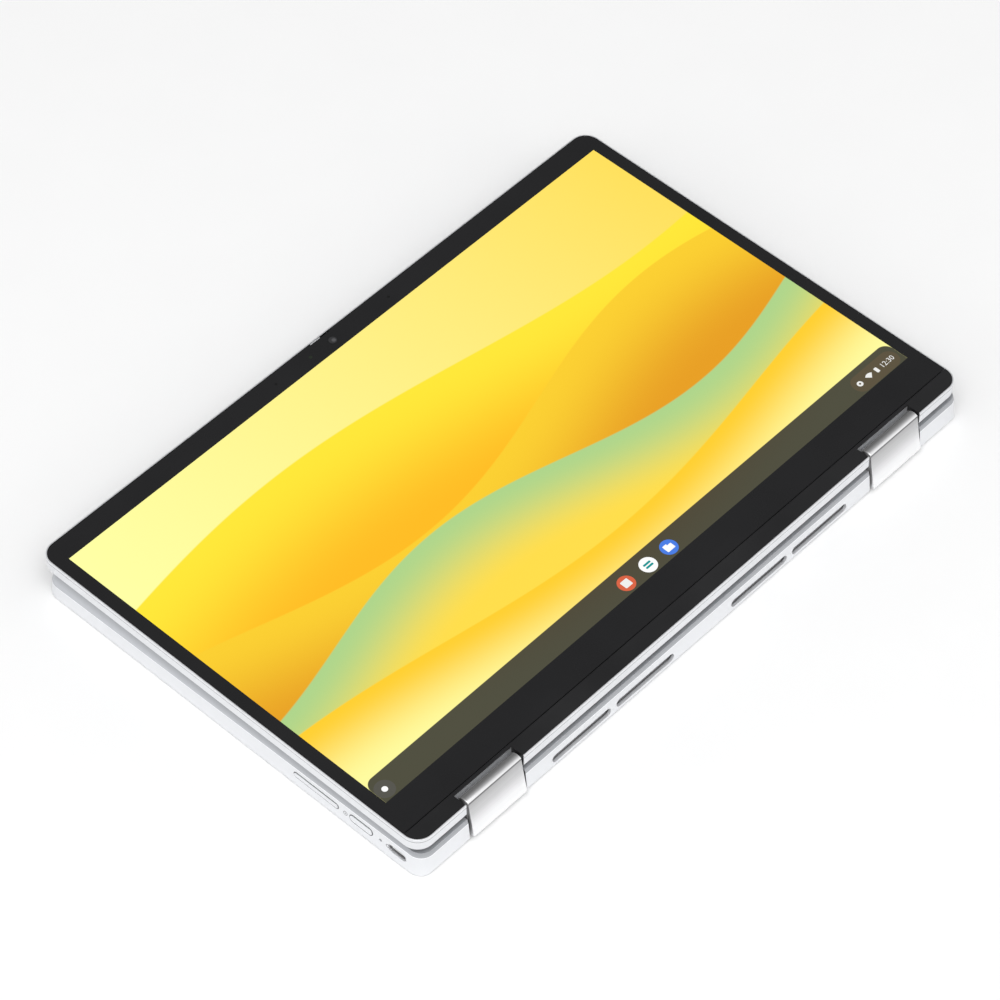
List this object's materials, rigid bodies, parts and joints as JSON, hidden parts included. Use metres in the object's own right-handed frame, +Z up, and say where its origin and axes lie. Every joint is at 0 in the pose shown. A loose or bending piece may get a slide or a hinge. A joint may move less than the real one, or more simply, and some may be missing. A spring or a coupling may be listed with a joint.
{
  "type": "convertible laptop computer",
  "caption": "Thin convertible laptop folded round into a tablet: lid with screen up on an upside-down keyboard base, joined by two geared double-shaft hinges.",
  "frame": {"origin": "centre of the whole footprint on the surface that the folded laptop lies on", "axes": "+X along the hinges, to the right as seen from the hinge side; +Y from the hinges to the lid's free edge; +Z up, out of the screen"},
  "size_m": [0.322, 0.2117, 0.0215],
  "materials": {
    "silver_shell": "fine bead-blasted, anodised silver",
    "grey_shell": "fine bead-blasted, anodised grey",
    "cover_glass": "polished toughened glass over a black printed border and the lit screen",
    "black_trim": "fine matte moulded black",
    "grey_trim": "smooth moulded grey",
    "panel": "laminated liquid-crystal panel with a thin steel frame",
    "circuit_board": "green solder mask with tin pads",
    "chip": "black epoxy packages",
    "shield_steel": "tin-plated shield",
    "port_steel": "drawn steel shell",
    "plate_steel": "rolled steel sheet",
    "hinge_steel": "machined steel",
    "screw_steel": "machined steel",
    "gear_brass": "sintered and machined",
    "hinge_cap": "polished barrel with a brushed flat face",
    "lens_glass": "coated lens",
    "copper": "bare copper",
    "fin_aluminium": "thin stamped fins",
    "flat_cable": "polyimide ribbon",
    "rubber_foot": "matte moulded rubber",
    "key_cap": "soft-touch moulded key",
    "pad_glass": "etched smooth surface",
    "battery_wrap": "wrapped lithium polymer cells",
    "silver_button": "turned and anodised",
    "light_pipe": "clear light pipe"
  },
  "bodies": {
    "lid": {"lid_cover": "silver_shell", "display_glass": "cover_glass", "hinge_strip": "black_trim", "lcd_panel": "panel", "display_driver": "circuit_board", "touch_controller": "circuit_board", "camera_module": "circuit_board", "camera_lens": "lens_glass", "lid_microphones": "shield_steel", "lid_antennas": "copper", "lid_brackets": "hinge_steel", "lid_screws": "screw_steel", "lid_cable": "flat_cable", "lid_shafts": "hinge_steel", "lid_gears": "gear_brass"},
    "hinge_links": {"hinge_plates": "hinge_steel", "hinge_housing_left": "hinge_cap", "hinge_housing_right": "hinge_cap"},
    "base": {"base_gears": "gear_brass", "base_shafts": "hinge_steel", "base_brackets": "hinge_steel", "keyboard_deck": "silver_shell", "bottom_cover": "grey_shell", "base_screws": "screw_steel", "base_feet": "rubber_foot", "deck_bumpers": "rubber_foot", "keyboard_plate": "plate_steel", "touch_pad_board": "circuit_board", "mainboard": "circuit_board", "processor_and_memory": "chip", "storage_module": "circuit_board", "wireless_card": "shield_steel", "heat_pipe": "copper", "cooling_fins": "fin_aluminium", "fan_housing": "black_trim", "battery": "battery_wrap", "speakers": "black_trim", "vent_grille": "black_trim", "usb_c_port_left": "port_steel", "usb_c_port_right": "port_steel", "usb_a_port": "port_steel", "audio_jack": "black_trim", "card_slot": "port_steel", "side_board": "circuit_board", "status_light": "light_pipe", "base_cable": "flat_cable"},
    "idlers_base_side": {"idler_gears_base_side": "gear_brass"},
    "idlers_lid_side": {"idler_gears_lid_side": "gear_brass"},
    "privacy_shutter": {"privacy_shutter": "grey_trim"},
    "power_button": {"power_button": "silver_button"},
    "volume_rocker": {"volume_rocker": "silver_button"},
    "touch_pad": {"touch_pad": "pad_glass"},
    "fan_rotor": {"fan_rotor": "black_trim"},
    "keys_function": {"keys_function": "key_cap"},
    "keys_number": {"keys_number": "key_cap"},
    "keys_upper": {"keys_upper": "key_cap"},
    "keys_home": {"keys_home": "key_cap"},
    "keys_lower": {"keys_lower": "key_cap"},
    "keys_bottom": {"keys_bottom": "key_cap"},
    "keys_space": {"keys_space": "key_cap"}
  },
  "joints": [
    {"name": "base_hinge", "type": "hinge", "parent": "hinge_links", "child": "base", "pos_m": [0, -0.10145, 0.00713], "axis": [-1, 0, 0], "range_deg": [0, 180]},
    {"name": "lid_hinge", "type": "hinge", "parent": "lid", "child": "hinge_links", "pos_m": [0, -0.10045, 0.0178], "axis": [-1, 0, 0], "range_deg": [0, 180]},
    {"name": "idler_turn_base_side", "type": "hinge", "parent": "hinge_links", "child": "idlers_base_side", "pos_m": [0, -0.10112, 0.01068], "axis": [1, 0, 0], "range_deg": [0, 180]},
    {"name": "idler_turn_lid_side", "type": "hinge", "parent": "hinge_links", "child": "idlers_lid_side", "pos_m": [0, -0.10078, 0.01424], "axis": [1, 0, 0], "range_deg": [-180, 0]},
    {"name": "shutter_slide", "type": "slide", "parent": "lid", "child": "privacy_shutter", "axis": [1, 0, 0], "range_m": [0, 0.0054]},
    {"name": "power_press", "type": "slide", "parent": "base", "child": "power_button", "axis": [1, 0, 0], "range_m": [0, 0.0004], "stiffness_N_per_m": 800, "springref_m": -0.0006},
    {"name": "volume_rock", "type": "hinge", "parent": "base", "child": "volume_rocker", "pos_m": [-0.158, -0.048, 0.0059], "axis": [0, 0, 1], "range_deg": [-1.2, 1.2], "stiffness_Nm_per_rad": 1},
    {"name": "pad_click", "type": "slide", "parent": "base", "child": "touch_pad", "axis": [0, 0, 1], "range_m": [0, 0.0003], "stiffness_N_per_m": 2500, "springref_m": -0.0004},
    {"name": "fan_spin", "type": "hinge", "parent": "base", "child": "fan_rotor", "pos_m": [-0.052, -0.06, 0.0083], "axis": [0, 0, 1], "continuous": true},
    {"name": "press_function", "type": "slide", "parent": "base", "child": "keys_function", "axis": [0, 0, 1], "range_m": [0, 0.0012], "stiffness_N_per_m": 2400, "springref_m": -0.0005},
    {"name": "press_number", "type": "slide", "parent": "base", "child": "keys_number", "axis": [0, 0, 1], "range_m": [0, 0.0012], "stiffness_N_per_m": 2400, "springref_m": -0.0005},
    {"name": "press_upper", "type": "slide", "parent": "base", "child": "keys_upper", "axis": [0, 0, 1], "range_m": [0, 0.0012], "stiffness_N_per_m": 2400, "springref_m": -0.0005},
    {"name": "press_home", "type": "slide", "parent": "base", "child": "keys_home", "axis": [0, 0, 1], "range_m": [0, 0.0012], "stiffness_N_per_m": 2400, "springref_m": -0.0005},
    {"name": "press_lower", "type": "slide", "parent": "base", "child": "keys_lower", "axis": [0, 0, 1], "range_m": [0, 0.0012], "stiffness_N_per_m": 2400, "springref_m": -0.0005},
    {"name": "press_bottom", "type": "slide", "parent": "base", "child": "keys_bottom", "axis": [0, 0, 1], "range_m": [0, 0.0012], "stiffness_N_per_m": 2400, "springref_m": -0.0005},
    {"name": "press_space", "type": "slide", "parent": "base", "child": "keys_space", "axis": [0, 0, 1], "range_m": [0, 0.0012], "stiffness_N_per_m": 300, "springref_m": -0.0005}
  ],
  "couplings": [
    {"joint": "lid_hinge", "follows": "base_hinge", "ratio": 1},
    {"joint": "idler_turn_base_side", "follows": "base_hinge", "ratio": 1},
    {"joint": "idler_turn_lid_side", "follows": "base_hinge", "ratio": -1}
  ]
}
